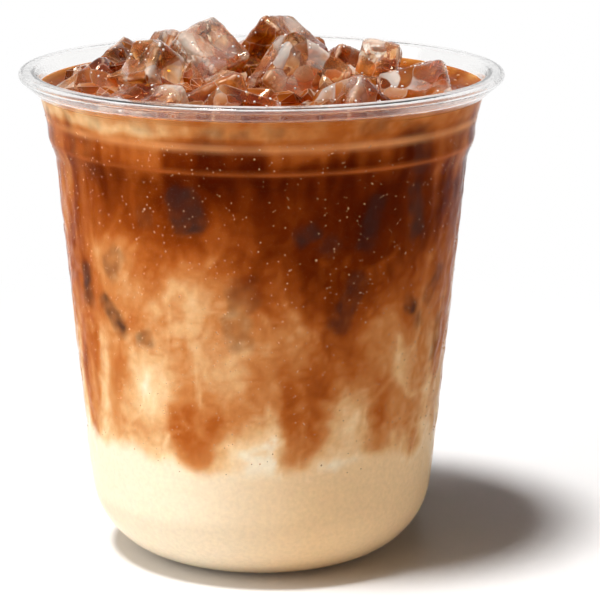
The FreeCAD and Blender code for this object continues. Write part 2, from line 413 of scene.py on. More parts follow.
def fine_relief(material, strength):
    """Slight unevenness of a surface, too small to be modelled."""
    nodes, links = material.node_tree.nodes, material.node_tree.links
    grain = noise_node(material.node_tree, GRAINS_PER_METRE, 2.0)
    relief = nodes.new("ShaderNodeBump")
    set_inputs(relief, {"Strength": strength, "Distance": 0.0001})
    links.new(grain.outputs["Fac"], relief.inputs["Height"])
    links.new(relief.outputs["Normal"], nodes["Principled BSDF"].inputs["Normal"])


def plastic_material(name, bending):
    """Clear plastic. The wall bends light less than the lip, as the drink is right behind it."""
    material, _, _, shader = new_material(name)
    set_inputs(shader, {
        "Base Color": (0.97, 0.965, 0.96, 1),
        "Transmission Weight": 1.0,
        "Roughness": 0.04,
        "IOR": bending,
    })
    fine_relief(material, 0.25)
    let_lamps_through(material, (0.97, 0.97, 0.97, 1))
    return material


def water_material(name, clearness, colour=(1, 0.98, 0.96), bending=1.33):
    """Water that is clear, or that shows a colour of its own where clearness is below 1; the opaque
    white beads on the ice are painted highlights.
    """
    material, _, _, shader = new_material(name)
    set_inputs(shader, {
        "Base Color": (*colour, 1),
        "Transmission Weight": clearness,
        "Roughness": 0.05,
        "IOR": bending,
    })
    fine_relief(material, 0.1)
    let_lamps_through(material)
    return material


def voronoi(tree, place, feature):
    """Cells of about a facet's size round a place, or how far their edges are from it."""
    cells = tree.nodes.new("ShaderNodeTexVoronoi")
    cells.feature = feature
    cells.inputs["Scale"].default_value = FACETS_PER_METRE
    tree.links.new(place, cells.inputs["Vector"])
    return cells.outputs


def separated(tree, colour):
    """A colour's red, green and blue."""
    split = tree.nodes.new("ShaderNodeSeparateColor")
    tree.links.new(colour, split.inputs["Color"])
    return split.outputs


def ice_ramp(tree, share):
    """The colour that ICE_RAMP gives for a share from 0 to 1."""
    shades = tree.nodes.new("ShaderNodeValToRGB")
    ramp = shades.color_ramp
    while len(ramp.elements) < len(ICE_RAMP):
        ramp.elements.new(0.5)
    for element, (mark, shade) in zip(ramp.elements, ICE_RAMP):
        element.position = mark
        element.color = (*shade, 1)
    tree.links.new(share, shades.inputs["Fac"])
    return shades.outputs["Color"]


def ice_material():
    """Wet ice whose facets each take up some of the coffee around them, each facet painted paler
    towards its edges as shading, with a painted highlight along the edges of facets and pieces.

    A piece's colour says how clean it is, with white highlights painted at the top of the heap
    (red), where its edges take a painted highlight (green) and how clear it is (blue).
    """
    material, nodes, links, shader = new_material("ice")
    tree = material.node_tree
    set_inputs(shader, {"Roughness": 0.05, "IOR": 1.31, "Specular Tint": (1, 0.8, 0.6, 1)})
    stain_and_painted_light = separated(tree, stain_and_painted_light_colour(nodes))

    place = nodes.new("ShaderNodeTexCoord").outputs["Object"]
    sway = noise_node(tree, SWAY_PER_METRE, 1.0)
    bent = reckoned_vector(tree, "MULTIPLY_ADD", sway.outputs["Color"], [FACET_SWAY] * 3, place)
    facets = voronoi(tree, bent, "F1")
    facet_edges = voronoi(tree, bent, "DISTANCE_TO_EDGE")

    chance = separated(tree, facets["Color"])["Red"]
    uneven = reckoned(tree, "POWER", chance, FACET_UNEVEN)
    spread = reckoned(tree, "MULTIPLY_ADD", uneven, FACET_CONTRAST, stain_and_painted_light["Red"])
    # Each facet is painted paler towards its edges, as shading.
    share = reckoned(tree, "MULTIPLY_ADD", facets["Distance"], FACET_PAINTED_SHADING, spread)

    # A painted highlight along each facet's edge and each piece's edge.
    line = nodes.new("ShaderNodeMapRange")
    set_inputs(line, {"From Min": PAINTED_HIGHLIGHT_BEGINS, "From Max": PAINTED_HIGHLIGHT_FULL, "To Max": PAINTED_HIGHLIGHT_COVER})
    links.new(facet_edges["Distance"], line.inputs["Value"])
    highlighted = nodes.new("ShaderNodeMix")
    highlighted.data_type = "RGBA"
    factor, first, second = highlighted.inputs[0], highlighted.inputs[6], highlighted.inputs[7]
    links.new(reckoned(tree, "MAXIMUM", line.outputs["Result"], stain_and_painted_light["Green"]), factor)
    links.new(ice_ramp(tree, share), first)
    second.default_value = (*PAINTED_EDGE_HIGHLIGHT, 1)
    links.new(highlighted.outputs[2], shader.inputs["Base Color"])
    links.new(stain_and_painted_light["Blue"], shader.inputs["Transmission Weight"])

    within = reckoned_vector(tree, "SUBTRACT", bent, facets["Position"])
    lean = reckoned_vector(tree, "SUBTRACT", facets["Color"], (0.5, 0.5, 0.5))
    relief = nodes.new("ShaderNodeBump")
    set_inputs(relief, {"Strength": 1.0, "Distance": FACET_TILT})
    slope = reckoned_vector(tree, "DOT_PRODUCT", lean, within, output="Value")
    links.new(slope, relief.inputs["Height"])
    links.new(relief.outputs["Normal"], shader.inputs["Normal"])
    let_lamps_through(material, (0.76, 0.60, 0.44, 1))
    return material


def drink_material(name, glossy):
    """The drink in the colours painted on it, glossy where it lies open."""
    material, nodes, links, shader = new_material(name)
    specks = noise_node(material.node_tree, SPECKS_PER_METRE, 4.0)
    strength = nodes.new("ShaderNodeMapRange")
    set_inputs(strength, {"To Min": SPECK_RANGE[0], "To Max": SPECK_RANGE[1]})
    shift = nodes.new("ShaderNodeHueSaturation")
    links.new(specks.outputs["Fac"], strength.inputs["Value"])
    links.new(strength.outputs["Result"], shift.inputs["Value"])
    links.new(stain_and_painted_light_colour(nodes), shift.inputs["Color"])
    links.new(shift.outputs["Color"], shader.inputs["Base Color"])
    set_inputs(shader, {
        "Roughness": 0.12 if glossy else 0.5,
        "IOR": 1.04,
        "Specular IOR Level": 0.5 if glossy else 0.0,
        "Subsurface Weight": 0.2,
        "Subsurface Radius": (1.0, 0.55, 0.3),
        "Subsurface Scale": 0.0006,
    })
    return material


# ---------------------------------------------------------------- the cup

def ripple(points):
    """How far the wall's outer face lies off its outline, which makes it gently pebbled."""
    swirled = warp(points, 9.0, 1.5, SEED + 40)
    cells = np.abs(noise(swirled, RIPPLE_SCALE, SEED + 41)) ** 0.8
    fine = noise(points, 2.4, SEED + 42)
    body_top = CUP_HEIGHT - SECOND_SHOULDER_DROP - SECOND_SLOPE
    fade = ease(RIPPLE_FROM, RIPPLE_FULL, points[:, 2])
    fade *= ease(body_top, body_top - RIPPLE_FADE, points[:, 2])
    return fade * RIPPLE * (0.9 * np.clip(cells, 0, 1) + 0.2 * fine - 0.25)


def cup_outline():
    """The wall's section as one closed run, up the outside, round the lip and down the inside.

    Returned with the number of points that make its outside.
    """
    mouth = LIP_RADIUS - LIP_WIDTH + WALL
    top = CUP_HEIGHT
    low = CUP_HEIGHT - LIP_DROP
    underside = mouth - NECK_DRAFT * LIP_DROP / FIRST_SHOULDER_DROP + LIP_SLIT
    slant = math.atan2(LIP_DROP - LIP_EDGE, LIP_RADIUS - underside)
    bends = np.array([LIP_ROUND, LIP_EDGE_ROUND, LIP_EDGE_ROUND])
    inner_edge = top - LIP_EDGE + WALL * math.tan((math.pi / 2 - slant) / 2)
    end = (underside - WALL * math.sin(slant), low + WALL * math.cos(slant))
    hollow = rounded([
        (mouth - NECK_DRAFT * 0.5, top - FIRST_SHOULDER_DROP * 0.5),
        (mouth, top - WALL),
        (LIP_RADIUS - WALL, top - WALL),
        (LIP_RADIUS - WALL, inner_edge),
        end,
    ], bends - WALL)
    inside = OUTSIDE - sideways(OUTSIDE) * WALL
    inside[0, 0] = 0
    curl = rounded([
        (underside, low),
        (LIP_RADIUS, top - LIP_EDGE),
        (LIP_RADIUS, top),
        (LIP_RADIUS - LIP_WIDTH, top),
        tuple(inside[inside[:, 1] < top - CURL_DROP][-1]),
    ], bends[::-1])
    hollow_end = top - FIRST_SHOULDER_DROP * 0.5 - LIP_STEP
    outside = spaced(OUTSIDE[OUTSIDE[:, 1] < hollow_end], WALL_STEP)
    inside = inside[inside[:, 1] < top - CURL_DROP - LIP_STEP]
    upper = inside[:, 1] > LEVEL - FINE_BELOW_LEVEL
    below = spaced(inside[~upper], INSIDE_STEP)
    above = spaced(inside[upper], LIP_STEP * 2)
    inside = np.concatenate([below, above])
    lip = np.concatenate([spaced(hollow, LIP_STEP), spaced(curl, LIP_STEP)])
    return np.concatenate([outside, lip, inside[::-1]]), len(outside)


def make_cup(wall_shade, lip_shade):
    """The clear cup in one piece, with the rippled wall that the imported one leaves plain."""
    path, count = cup_outline()

    def push(points):
        amount = np.zeros(len(points))
        edge = (count - 1) * CUP_TURNS
        amount[:edge] = ripple(points[:edge])
        return amount

    points = lathe_points(path, CUP_TURNS, push)
    faces = lathe_faces(len(path) - 2, CUP_TURNS)
    piece = mesh_object("cup_shell", points, faces)
    piece.data.materials.append(wall_shade)
    piece.data.materials.append(lip_shade)
    index = np.array([points[face[0], 2] > LEVEL + MENISCUS for face in faces], np.int32)
    piece.data.polygons.foreach_set("material_index", index)
    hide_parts("cup")
    return piece


# ---------------------------------------------------------------- the drink

# Colours from coffee with no milk to milk with no coffee
MILK_RAMP = [
    (0.00, tone(78, 20, 2)),
    (0.15, tone(106, 37, 4)),
    (0.30, tone(145, 66, 18)),
    (0.45, tone(180, 97, 38)),
    (0.60, tone(206, 135, 76)),
    (0.75, tone(228, 177, 123)),
    (0.90, tone(246, 211, 163)),
    (1.00, tone(253, 236, 208)),
]
MILK_PAINTED_SHADE = tone(244, 208, 160)     # painted shade of the milk on the side away from the lamps
ICE_SHADE = tone(60, 40, 34)         # of ice seen through the drink
PAINTED_LIGHT_SIDE = -62                    # azimuth at which the milk is painted whitest, as if lit; away from it the milk takes a painted shade

# How much milk there is by height; the climb above the first shoulder is partly a painted
# reflection that makes the neck band paler
HEIGHTS = [24, 28, 33, 42, 52, 62, 70, 78, 86, 91.5, 93.5, 95.6]
SHARES = [0.90, 0.76, 0.66, 0.58, 0.50, 0.42, 0.33, 0.26, 0.21, 0.22, 0.45, 0.49]
MILK_EDGE = 25.6
# A painted highlight along each shoulder, where the plastic's bend catches the light: height, half
# width, strength and colour
PAINTED_SHOULDER_HIGHLIGHTS = [
    (CUP_HEIGHT - FIRST_SHOULDER_DROP - 0.6, 0.75, 0.85, tone(232, 158, 98)),
    (CUP_HEIGHT - SECOND_SHOULDER_DROP - 0.5, 0.45, 0.7, tone(198, 104, 44)),
]

# Soft clouds in the drink: azimuth, height, half width, half height, and more or less milk
CLOUDS = [
    (-31, 60, 13, 13, 0.20),
    (-32, 43, 9, 6, 0.16),
    (-46, 68, 7, 5, 0.14),
    (-50, 36, 12, 9, 0.12),
    (-12, 50, 12, 7, 0.10),
    (-36, 40, 5, 9, 0.20),
    (-3, 31, 6, 5, 0.18),
    (29, 33, 5, 9, 0.14),
    (51, 38, 5, 11, 0.08),
    (74, 44, 6, 24, 0.05),
    (-76, 62, 5, 26, 0.08),
    (-66, 86, 16, 14, 0.18),
    (-34, 88, 8, 8, 0.18),
    (-48, 94.6, 34, 1.8, 0.26),
    (6, 86, 30, 5, -0.16),
    (18, 74, 30, 13, -0.14),
    (40, 62, 16, 18, -0.10),
    (-50, 89, 9, 5, 0.10),
    (9, 89.6, 6, 1.6, 0.20),
    (8, 91.2, 16, 2.4, 0.12),
    (41, 91, 3, 4, -0.16),
    (62, 90, 14, 5, 0.08),
]
# Fingers of coffee that sink into the milk: azimuth, half width, lowest point, top, less milk
FINGERS = [
    (-66, 3.8, 26.5, 52, 0.27),
    (-47, 4.4, 27.5, 50, 0.22),
    (-34, 2.0, 25.0, 34, 0.12),
    (-20, 5.8, 24.0, 42, 0.30),
    (13, 6.2, 24.4, 50, 0.27),
    (40, 3.6, 26.0, 44, 0.22),
    (57, 3.0, 23.0, 34, 0.30),
]
BACK_FINGERS = 11
# Ice just behind the wall: azimuth, height, half width, half height, lean in degrees, darkness
SUNK = [
    (-20, 78.5, 3.4, 4.6, 12, 0.85),
    (-33, 76, 1.6, 1.8, 20, 0.4),
    (-46, 66, 2.0, 3.8, -30, 0.45),
    (-61, 59.5, 1.9, 4.6, -4, 0.75),
    (-48, 55, 1.6, 4.6, 42, 0.85),
    (-36, 51.5, 2.0, 1.4, 10, 0.5),
    (-5, 62, 3.0, 3.6, 0, 0.45),
    (-6, 54.5, 2.6, 4.0, 8, 0.35),
    (13, 74, 2.6, 1.5, 24, 0.85),
    (20, 71.5, 1.8, 1.6, 40, 0.5),
    (32, 75.5, 1.8, 5.6, -14, 0.6),
    (26, 59.5, 2.0, 6.4, -26, 0.6),
    (48, 76.5, 2.0, 5.8, 10, 0.85),
    (49, 57, 1.1, 1.8, 40, 0.9),
    (53, 54.5, 1.2, 3.2, 30, 0.6),
    (61, 60, 1.6, 4.6, -42, 0.5),
    (67, 48, 1.4, 5.0, -6, 0.4),
    (-51, 87, 1.4, 5.0, 0, 0.3),
    (-12, 93.8, 2.6, 1.6, 0, 0.45),
    (-4, 94.0, 1.6, 1.2, 0, 0.38),
    (4, 94.4, 1.8, 1.0, 0, 0.40),
    (30, 95.0, 3.0, 1.6, 8, 0.38),
    (41, 93.4, 2.4, 1.6, -30, 0.32),
    (-30, 94.4, 2.2, 1.0, 0, 0.28),
    (-46, 94.2, 1.8, 1.2, 0, 0.25),
    (-58, 90, 1.3, 5.0, 0, 0.45),
    (47, 89, 2.4, 5.0, 4, 0.55),
    (64, 88, 1.4, 5.0, 0, 0.35),
    (-73, 89, 1.2, 5.0, 0, 0.35),
]
BACK_SUNK = 16
# The share of each colour that the open surface sends back
OPEN_TINT = np.array([0.80, 0.78, 0.55])


def milky(amount):
    """The drink's colour for an amount of milk from 0 to 1."""
    marks = [mark for mark, _ in MILK_RAMP]
    parts = [np.interp(amount, marks, [shade[i] for _, shade in MILK_RAMP]) for i in range(3)]
    return np.stack(parts, -1)


def azimuth_of(points):
    """Each point's azimuth."""
    return np.degrees(np.arctan2(points[:, 0], -points[:, 1]))


def beside(points, azimuth):
    """How far along the wall points lie from an azimuth, with right as more."""
    turn = (azimuth_of(points) - azimuth + 180) % 360 - 180
    return np.radians(turn) * np.hypot(points[:, 0], points[:, 1])


def all_fingers():
    """The fingers in front and others like them all the way round."""
    chance = np.random.default_rng(SEED)
    fingers = list(FINGERS)
    for i in range(BACK_FINGERS):
        azimuth = 80 + 200 * (i + chance.uniform(0.2, 0.8)) / BACK_FINGERS
        low = chance.uniform(23.5, 28)
        fingers.append((azimuth, chance.uniform(2.4, 6), low, low + chance.uniform(10, 26),
                        chance.uniform(0.15, 0.36)))
    return fingers


def all_sunk():
    """The sunk ice in front and other pieces all the way round."""
    chance = np.random.default_rng(SEED + 1)
    sunk = list(SUNK)
    ranges = [(48, 90), (1.2, 3.2), (1.8, 5.6), (-45, 45), (0.35, 0.85)]
    for i in range(BACK_SUNK):
        azimuth = 85 + 190 * (i + chance.uniform(0, 1)) / BACK_SUNK
        sunk.append((azimuth, *(chance.uniform(*limits) for limits in ranges)))
    return sunk


def in_block(points, azimuth, height, half_width, half_height, lean, soft=1.1):
    """1 inside a rounded block drawn on the wall, falling softly to 0 outside it."""
    angle = math.radians(lean)
    across = beside(points, azimuth)
    up = points[:, 2] - height
    x = np.abs(across * math.cos(angle) + up * math.sin(angle)) - half_width
    y = np.abs(up * math.cos(angle) - across * math.sin(angle)) - half_height
    corner = min(half_width, half_height) * 0.6
    past = np.hypot(np.clip(x + corner, 0, None), np.clip(y + corner, 0, None))
    inside = np.minimum(np.maximum(x, y) + corner, 0)
    return ease(soft, -soft * 0.6, past + inside - corner)


def milk_share(points, fingers):
    """How much milk is in the drink beside the wall, with its clouds, fingers and marbling."""
    height = points[:, 2]
    bent = warp(warp(points * [1, 1, 0.55], 16, 6, SEED + 3), 5, 2, SEED + 20)
    wander = warp(warp(points, 10, 3.2, SEED + 60), 3, 0.8, SEED + 64)
    marble = layered(bent, 12, SEED + 6, 4) * ease(96, 90, height)
    share = np.interp(height, HEIGHTS, SHARES) + 0.17 * marble
    for azimuth, middle, half_width, half_height, more in CLOUDS:
        far = (beside(wander, azimuth) / half_width) ** 2
        far += ((wander[:, 2] - middle) / half_height) ** 2
        share += more * np.exp(-far)
    for azimuth, half_width, low, top, less in fingers:
        up = np.clip(wander[:, 2], low + half_width, top) - wander[:, 2]
        away = np.hypot(beside(wander, azimuth), up)
        lump = ease(half_width + 1.6, half_width - 3.2, away) * ease(top + 6, top - 10, height)
        share -= less * lump * (0.85 + 0.5 * marble)
    pebble = np.abs(noise(warp(points, 4, 1.6, SEED + 70), 3, SEED + 73))
    share += 0.14 * (pebble - 0.22) * ease(24, 32, height) * ease(84, 66, height)
    veins = np.clip(1 - 4 * np.abs(noise(bent, 9, SEED + 14)), 0, 1) ** 2
    share += 0.09 * veins * ease(82, 66, height)
    streaks = noise(warp(points * [1, 1, 0.22], 6, 1.6, SEED + 50), 3.2, SEED + 80)
    share += 0.12 * ease(44, 66, np.abs(azimuth_of(points))) * streaks
    upright = noise(warp(points * [1, 1, 0.12], 5, 1.2, SEED + 53), 2.6, SEED + 83)
    share += 0.15 * ease(76, 84, height) * ease(94, 91, height) * upright
    neck = layered(warp(points, 3, 1.2, SEED + 56), 4.5, SEED + 86, 3)
    share += 0.10 * ease(91.2, 92.4, height) * neck
    return share + 0.025 * layered(points, 1.6, SEED + 90, 2)


def milk_depth(points, fingers):
    """1 in the milk at the bottom and 0 in the drink above its soft, uneven edge."""
    edge = MILK_EDGE + 1.1 * noise(points * [1, 1, 0.3], 8, SEED + 1)
    edge += 1.2 * noise(warp(points, 3, 1.5, SEED + 9), 3.4, SEED + 2)
    for azimuth, half_width, low, _, _ in fingers:
        near = np.exp(-(beside(points, azimuth) / half_width / 1.1) ** 2)
        edge -= np.clip(MILK_EDGE - low, -2, 3) * near
    return ease(edge + 2.2, edge - 1.4, points[:, 2])


def side_colours(points):
    """The drink's colours beside the wall, with a painted shade on the milk away from the lamps and
    a painted highlight along each shoulder.
    """
    fingers = all_fingers()
    shade = milky(np.clip(milk_share(points, fingers), 0, 1))
    # The milk is painted palest on the lit side and takes a painted tan shade on the far side.
    facing = np.cos(np.radians(azimuth_of(points) - PAINTED_LIGHT_SIDE))
    cream_with_painted_shade = blend(MILK_RAMP[-1][1], MILK_PAINTED_SHADE, ease(0.98, 0.1, facing))
    cream_with_painted_shade = cream_with_painted_shade * (0.97 - 0.03 * noise(points, 14, SEED + 95))[:, None]
    shade = blend(shade, cream_with_painted_shade, milk_depth(points, fingers))
    near = warp(points, 3, 0.7, SEED + 100)
    mottle = 0.75 + 0.5 * noise(points, 2.2, SEED + 104)
    for azimuth, height, half_width, half_height, lean, dark in all_sunk():
        mask = in_block(near, azimuth, height, half_width, half_height, lean)
        shade = blend(shade, ICE_SHADE, np.clip(dark * mask * mottle, 0, 0.95))
    patchy = 0.75 + 0.5 * noise(points * [1, 1, 0], 7, SEED + 107)
    # Paint a highlight along each shoulder of the wall.
    for height, half_width, strength, colour in PAINTED_SHOULDER_HIGHLIGHTS:
        shoulder_highlight = strength * np.exp(-((points[:, 2] - height) / half_width) ** 2)
        shade = blend(shade, colour, np.clip(shoulder_highlight * patchy, 0, 1))
    return shade


def top_colours(points):
    """The drink's colours where it lies open between the ice and the wall."""
    reach = np.hypot(points[:, 0], points[:, 1])
    swirled = warp(warp(points, 14, 6, SEED + 110), 5, 1.5, SEED + 113)
    share = 0.33 + 0.14 * layered(swirled, 10, SEED + 116, 4)
    wet = wall_radius(LEVEL, WALL)
    share += 0.22 * np.exp(-np.clip(wet - reach, 0, None) / 1.6)
    return milky(np.clip(share, 0, 1)) * OPEN_TINT


def drink_outline():
    """The drink's outline from the axis up inside the wall and back over its top.

    Returned with the number of points below its top.
    """
    path = OUTSIDE - sideways(OUTSIDE) * WALL / 2
    path[0, 0] = 0
    edge_height = LEVEL + MENISCUS
    rim = np.array([np.interp(edge_height, path[:, 1], path[:, 0]), edge_height])
    side = spaced(np.vstack([path[path[:, 1] < edge_height], rim]), WALL_STEP)
    across = np.linspace(rim[0] - 0.05, 0, TOP_RINGS)
    wet = wall_radius(LEVEL, WALL)
    rise = MENISCUS * np.exp(-np.clip(wet - across, 0, None) / MENISCUS_REACH)
    top = np.stack([across, LEVEL + rise], -1)
    return np.concatenate([side, top]), len(side)


def make_drink(side_shade, top_shade, ice):
    """Milk, milky coffee and coffee in one marbled piece, which reaches just into the wall."""
    path, count = drink_outline()
    points = lathe_points(path, DRINK_TURNS)
    edge = 1 + (count - 1) * DRINK_TURNS
    for index in range(edge, len(points)):
        near = ice.find_nearest(Vector(points[index]) * MM, ICE_NEAR * MM)
        if near[0] is not None:
            points[index, 2] += ICE_RISE * math.exp(-near[3] / MM / ICE_RISE_REACH)
    faces = lathe_faces(len(path) - 2, DRINK_TURNS)
    piece = mesh_object("drink", points, faces)
    colours = side_colours(points)
    colours[edge:] = top_colours(points[edge:])
    paint(piece, "stain_and_painted_light", colours)
    piece.data.materials.append(side_shade)
    piece.data.materials.append(top_shade)
    index = np.array([1 if min(face) >= edge - DRINK_TURNS else 0 for face in faces], np.int32)
    piece.data.polygons.foreach_set("material_index", index)
    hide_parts("milk_layer", "swirl_layer", "coffee_layer")
    return piece


# ---------------------------------------------------------------- the ice

# Where the ice is cleanest, and where white highlights are painted at the top of the heap: how far
# across, height, reach and how much paler
CLEAN_ICE_AND_PAINTED_HIGHLIGHTS = [
    (-10, 107, 5.0, 0.70),
    (7, 105, 4.0, 0.45),
    (17, 103, 4.0, 0.45),
    (-26, 99, 3.0, 0.25),
    (35, 98, 3.0, 0.30),
    (-12, 99, 2.4, 0.35),
]
HEAP_HEIGHT = 14             # of the ice above the drink
ICE_VOXEL = 0.7              # how finely the pieces are divided
ICE_HOLLOW = 1.1             # how deep the middle of each face has melted
ICE_WEAR = 0.35
CHIPS = 110
CHIP_TRIES = 6000
CHIP_SIZE = (2.0, 4.2)
CHIP_CORNERS = 9
CHIP_FLAT_DEG = 14           # faces that lean less than this from each other are one
# width of the band along a chip's edges that takes the painted edge highlight
CHIP_EDGE = 0.14
CHIP_REACH = 37
CHIP_GAP = 2.2               # least distance between the middles of two chips
CHIP_HOLLOW = 0.9            # how much lower than the ice round it a chip's place lies
CHIP_LOOK = 4.5              # how far round its place that ice is measured
HEAP_MIDDLE = -2.5


def flat_faces(mesh):
    """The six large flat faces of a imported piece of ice, as (normal, middle, half width)."""
    groups = {}
    for polygon in mesh.polygons:
        key = tuple(round(value, 2) for value in polygon.normal)
        area, middle = groups.get(key, (0.0, Vector((0, 0, 0))))
        groups[key] = (area + polygon.area, middle + polygon.center * polygon.area)
    largest = sorted(groups.items(), key=lambda item: -item[1][0])[:6]
    return [(np.array(key), np.array(middle / area) / MM, math.sqrt(area) / 2 / MM)
            for key, (area, middle) in largest]


def remeshed(source, voxel):
    """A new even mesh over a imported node's shape."""
    piece = bpy.data.objects.new("remesh_source", source.data.copy())
    bpy.context.collection.objects.link(piece)
    modifier = piece.modifiers.new("remesh", "REMESH")
    modifier.mode = "VOXEL"
    modifier.voxel_size = voxel * MM
    bpy.context.view_layer.update()
    found = piece.evaluated_get(bpy.context.evaluated_depsgraph_get())
    mesh = bpy.data.meshes.new_from_object(found)
    bpy.data.objects.remove(piece)
    return mesh


def make_ice_piece(node, number, material):
    """One melting piece of ice: hollowed faces, uneven edges with a painted highlight along them,
    white highlights painted near the top of the heap, and a film of coffee in places.
    """
    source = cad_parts[node]
    mesh = remeshed(source, ICE_VOXEL)
    points = np.array([vertex.co for vertex in mesh.vertices]) / MM
    normals = np.array([vertex.normal for vertex in mesh.vertices])
    depths = []
    moved = points.copy()
    for facing, middle, half in flat_faces(source.data):
        away = points - middle
        depth = away @ facing
        depths.append(depth)
        across = np.linalg.norm(away - depth[:, None] * facing, axis=1) / half
        hollow = ICE_HOLLOW * np.clip(1 - across ** 2, 0, 1) * ease(-4, 0, depth)
        moved -= facing * hollow[:, None]
    # Where the piece's edges are, which take a painted highlight.
    edge = ease(-0.8, -0.25, np.sort(depths, axis=0)[-2] + 0.4 * noise(points, 3, SEED + 31))
    points = moved
    worn = ICE_WEAR * (0.5 + 0.5 * noise(points, 5, SEED + number))
    worn += 0.15 * noise(points, 2, SEED + 30)
    points -= normals * np.clip(worn, 0, None)[:, None]
    mesh.vertices.foreach_set("co", (points * MM).ravel())
    mesh.shade_smooth()
    piece = bpy.data.objects.new("ice_piece_%02d" % number, mesh)
    bpy.context.collection.objects.link(piece)
    chance = np.random.default_rng(SEED + 60 + number)
    high = (points[:, 2] - LEVEL) / HEAP_HEIGHT
    swirled = warp(points, 6, 3, SEED + 50 + number)
    film = 0.28 * layered(swirled, 8, SEED + 60 + number, 3) + chance.uniform(-0.12, 0.12)
    paleness = 0.08 + 0.14 * high + film
    # Paleness here also paints white highlights at the top of the heap.
    for across, height, reach, more in CLEAN_ICE_AND_PAINTED_HIGHLIGHTS:
        far = ((points[:, 0] - across) ** 2 + (points[:, 2] - height) ** 2) / reach ** 2
        paleness += more * np.exp(-far)
    clearness = np.clip(0.62 + 0.25 * high + 0.4 * noise(points, 7, SEED + 80 + number), 0, 0.92)
    paint(piece, "stain_and_painted_light", np.stack([np.clip(paleness, 0, 1), edge, clearness * (1 - edge)], -1))
    set_shade(piece, material)
    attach(piece, "root")
    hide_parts(node)
    return piece


def chip_form(chance):
    """A small block with flat faces: its points, its faces, and 1 for each point on an edge, which
    takes a painted highlight.
    """
    form = bmesh.new()
    size = chance.uniform(*CHIP_SIZE)
    limits = [(0.75, 1.25), (0.75, 1.25), (0.6, 0.95)]
    stretch = np.array([chance.uniform(*pair) for pair in limits])
    for _ in range(CHIP_CORNERS):
        way = chance.normal(0, 1, 3)
        form.verts.new(way / np.linalg.norm(way) * size * stretch * chance.uniform(0.85, 1.1))
    bmesh.ops.convex_hull(form, input=form.verts)
    for point in [point for point in form.verts if not point.link_faces]:
        form.verts.remove(point)
    flat = math.radians(CHIP_FLAT_DEG)
    bmesh.ops.dissolve_limit(form, angle_limit=flat, verts=form.verts, edges=form.edges)
    outer = set(form.verts)
    bmesh.ops.inset_individual(form, faces=form.faces, thickness=CHIP_EDGE)
    form.verts.index_update()
    points = np.array([point.co for point in form.verts])
    near = np.array([1.0 if point in outer else 0.0 for point in form.verts])
    faces = [[point.index for point in face.verts] for face in form.faces]
    form.free()
    return points, faces, near


def ice_top(ice, x, y):
    """Height of the packed ice under a point, or of the drink where there is none."""
    hit = ice.ray_cast(Vector((x * MM, y * MM, 0.2)), Vector((0, 0, -1)))[0]
    return LEVEL if hit is None else max(hit.z / MM, LEVEL)


def chip_places(ice, chance):
    """Places across the heap that lie lower than the ice round them, none too near another."""
    places = []
    tries = 0
    while len(places) < CHIPS and tries < CHIP_TRIES:
        tries += 1
        reach = CHIP_REACH * math.sqrt(chance.uniform(0, 1))
        turn = chance.uniform(0, 2 * math.pi)
        x, y = HEAP_MIDDLE + reach * math.cos(turn), reach * math.sin(turn)
        around = [ice_top(ice, x + CHIP_LOOK * math.cos(way), y + CHIP_LOOK * math.sin(way))
                  for way in np.arange(8) * math.pi / 4]
        crowded = any(math.dist((x, y), other) < CHIP_GAP for other in places)
        if np.mean(around) - ice_top(ice, x, y) > CHIP_HOLLOW and not crowded:
            places.append((x, y))
    return places


def make_ice_chips(ice, material):
    """Broken bits of ice that fill the hollows between the larger pieces."""
    chance = np.random.default_rng(SEED + 300)
    points, faces, stain_and_painted_light = [], [], []
    start = 0
    for x, y in chip_places(ice, chance):
        form, sides, near = chip_form(chance)
        rest = ice_top(ice, x, y) + 0.2 * (form[:, 2].max() - form[:, 2].min())
        moved = form + [x, y, rest]
        film = 0.25 * layered(moved, 6, SEED + 310, 2) + chance.uniform(-0.15, 0.2)
        high = (moved[:, 2] - LEVEL) / HEAP_HEIGHT
        paleness = np.clip(0.02 + 0.12 * high + film, 0, 1)
        clearness = np.clip(0.45 + 0.4 * noise(moved, 5, SEED + 320), 0, 0.85) * (1 - near)
        points.append(moved)
        stain_and_painted_light.append(np.stack([paleness, near, clearness], -1))
        faces += [[start + index for index in face] for face in sides]
        start += len(form)
    piece = mesh_object("ice_chips", np.concatenate(points), faces)
    piece.data.shade_flat()
    paint(piece, "stain_and_painted_light", np.concatenate(stain_and_painted_light))
    set_shade(piece, material)
    return piece


def ice_nodes():
    """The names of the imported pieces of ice, in order."""
    return sorted(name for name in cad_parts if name.startswith("ice_"))


def ice_surface():
    """All the packed ice as one tree for measuring how near a point is to it."""
    points = []
    faces = []
    for name in ice_nodes():
        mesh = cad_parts[name].data
        start = len(points)
        points += [vertex.co.copy() for vertex in mesh.vertices]
        faces += [[start + index for index in polygon.vertices] for polygon in mesh.polygons]
    return BVHTree.FromPolygons(points, faces)


# ---------------------------------------------------------------- drops and bubbles

def ball(fineness):
    """Points and faces of a round ball of radius 1."""
    form = bmesh.new()
    bmesh.ops.create_icosphere(form, subdivisions=fineness, radius=1)
    points = np.array([vertex.co for vertex in form.verts])
    faces = [[vertex.index for vertex in face.verts] for face in form.faces]
    form.free()
    return points, faces


def scattered(name, places, facings, sizes, flatness, material, fineness=2):
    """Many small rounded drops in one piece, each squashed against the surface that it sits on."""
    form, faces = ball(fineness)
    points = []
    all_faces = []
    for place, facing, size in zip(places, facings, sizes):
        facing = facing / np.linalg.norm(facing)
        lift = form @ facing
        drop = form - np.outer(lift * (1 - flatness), facing)
        start = len(points) * len(form)
        points.append(place + drop * size)
        all_faces += [[start + index for index in face] for face in faces]
    piece = mesh_object(name, np.concatenate(points), all_faces)
    set_shade(piece, material)
    return piece


